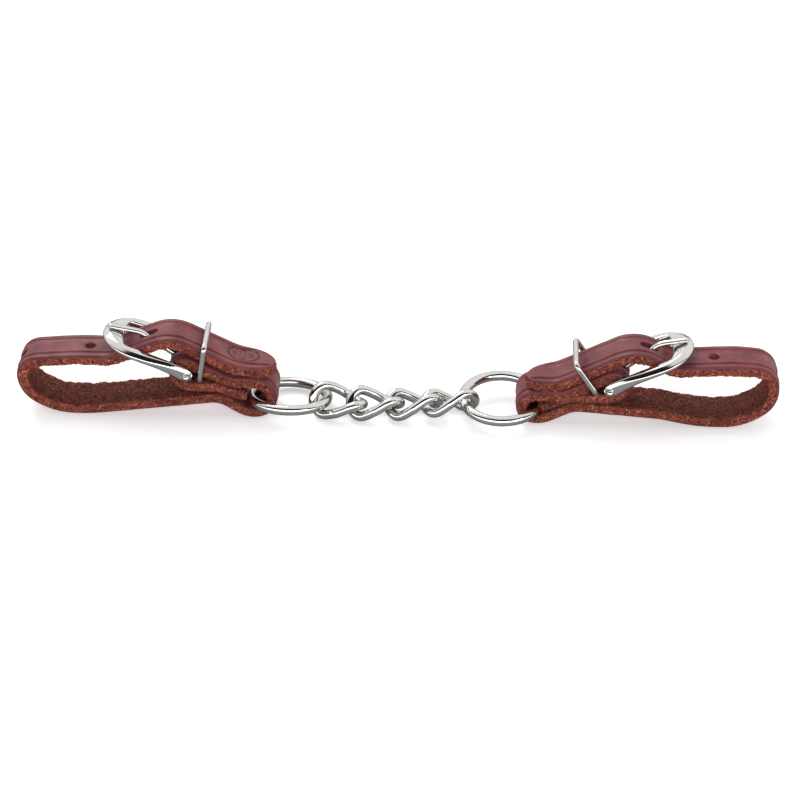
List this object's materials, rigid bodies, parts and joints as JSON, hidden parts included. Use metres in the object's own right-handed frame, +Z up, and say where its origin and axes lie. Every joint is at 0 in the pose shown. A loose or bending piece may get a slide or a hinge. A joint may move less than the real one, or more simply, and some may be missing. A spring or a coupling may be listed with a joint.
{
  "type": "curb strap",
  "caption": "Short twisted-link curb chain between two round rings, each held in the fold of a buckled leather loop with a wire keeper.",
  "frame": {"origin": "under the middle of the object, on the surface it lies on", "axes": "+X along the strap from the left loop to the right loop, +Y from the near long edge to the far one, +Z up from the surface"},
  "size_m": [0.2901, 0.0332, 0.0366],
  "materials": {
    "leather": "satin",
    "hardware": "polished",
    "rivet": "satin"
  },
  "bodies": {
    "chain_link_1": {"chain_link_1": "hardware"},
    "chain_link_2": {"chain_link_2": "hardware"},
    "chain_link_3": {"chain_link_3": "hardware"},
    "chain_link_4": {"chain_link_4": "hardware"},
    "left_ring": {"left_ring": "hardware"},
    "left_strap": {"left_strap": "leather", "left_rivet": "rivet"},
    "left_buckle": {"left_buckle_frame": "hardware", "left_heel_bar": "hardware"},
    "left_tongue": {"left_tongue": "hardware"},
    "left_keeper": {"left_keeper": "hardware"},
    "right_ring": {"right_ring": "hardware"},
    "right_strap": {"right_strap": "leather", "right_rivet": "rivet"},
    "right_buckle": {"right_buckle_frame": "hardware", "right_heel_bar": "hardware"},
    "right_tongue": {"right_tongue": "hardware"},
    "right_keeper": {"right_keeper": "hardware"}
  },
  "joints": [
    {"name": "link_2_to_link_1", "type": "hinge", "parent": "chain_link_2", "child": "chain_link_1", "pos_m": [-0.0153, -0.00428, 0.00546], "axis": [0, 1, 0], "range_deg": [-14, 14]},
    {"name": "link_1_to_left_ring", "type": "hinge", "parent": "chain_link_1", "child": "left_ring", "pos_m": [-0.02938, -0.00236, 0.00568], "axis": [0, 1, 0], "range_deg": [-14, 14]},
    {"name": "left_ring_to_strap", "type": "hinge", "parent": "left_ring", "child": "left_strap", "pos_m": [-0.0553, -0.0006, 0.00595], "axis": [0, 1, 0], "range_deg": [-15, 15]},
    {"name": "link_2_to_link_3", "type": "hinge", "parent": "chain_link_2", "child": "chain_link_3", "pos_m": [-0.00088, -0.00395, 0.00557], "axis": [0, -1, 0], "range_deg": [-14, 14]},
    {"name": "link_3_to_link_4", "type": "hinge", "parent": "chain_link_3", "child": "chain_link_4", "pos_m": [0.01334, -0.00304, 0.0059], "axis": [0, -1, 0], "range_deg": [-14, 14]},
    {"name": "link_4_to_right_ring", "type": "hinge", "parent": "chain_link_4", "child": "right_ring", "pos_m": [0.02766, -0.00124, 0.00656], "axis": [0, -1, 0], "range_deg": [-14, 12]},
    {"name": "right_ring_to_strap", "type": "hinge", "parent": "right_ring", "child": "right_strap", "pos_m": [0.054, -0.0003, 0.00649], "axis": [0, -1, 0], "range_deg": [-15, 15]},
    {"name": "left_frame_on_strap", "type": "hinge", "parent": "left_strap", "child": "left_buckle", "pos_m": [-0.0796, 0, 0.0196], "axis": [0, 1, 0], "range_deg": [0, 4]},
    {"name": "left_tongue_on_bar", "type": "hinge", "parent": "left_buckle", "child": "left_tongue", "pos_m": [-0.0796, 0, 0.0196], "axis": [0, 1, 0], "range_deg": [0, 6]},
    {"name": "left_keeper_rock", "type": "hinge", "parent": "left_strap", "child": "left_keeper", "pos_m": [-0.0748, 0, 0.017], "axis": [0, 1, 0], "range_deg": [-3, 16]},
    {"name": "right_frame_on_strap", "type": "hinge", "parent": "right_strap", "child": "right_buckle", "pos_m": [0.0809, 0, 0.0168], "axis": [0, -1, 0], "range_deg": [0, 4]},
    {"name": "right_tongue_on_bar", "type": "hinge", "parent": "right_buckle", "child": "right_tongue", "pos_m": [0.0809, 0, 0.0168], "axis": [0, -1, 0], "range_deg": [0, 6]},
    {"name": "right_keeper_rock", "type": "hinge", "parent": "right_strap", "child": "right_keeper", "pos_m": [0.076, 0, 0.01505], "axis": [0, -1, 0], "range_deg": [-10, 4]}
  ]
}
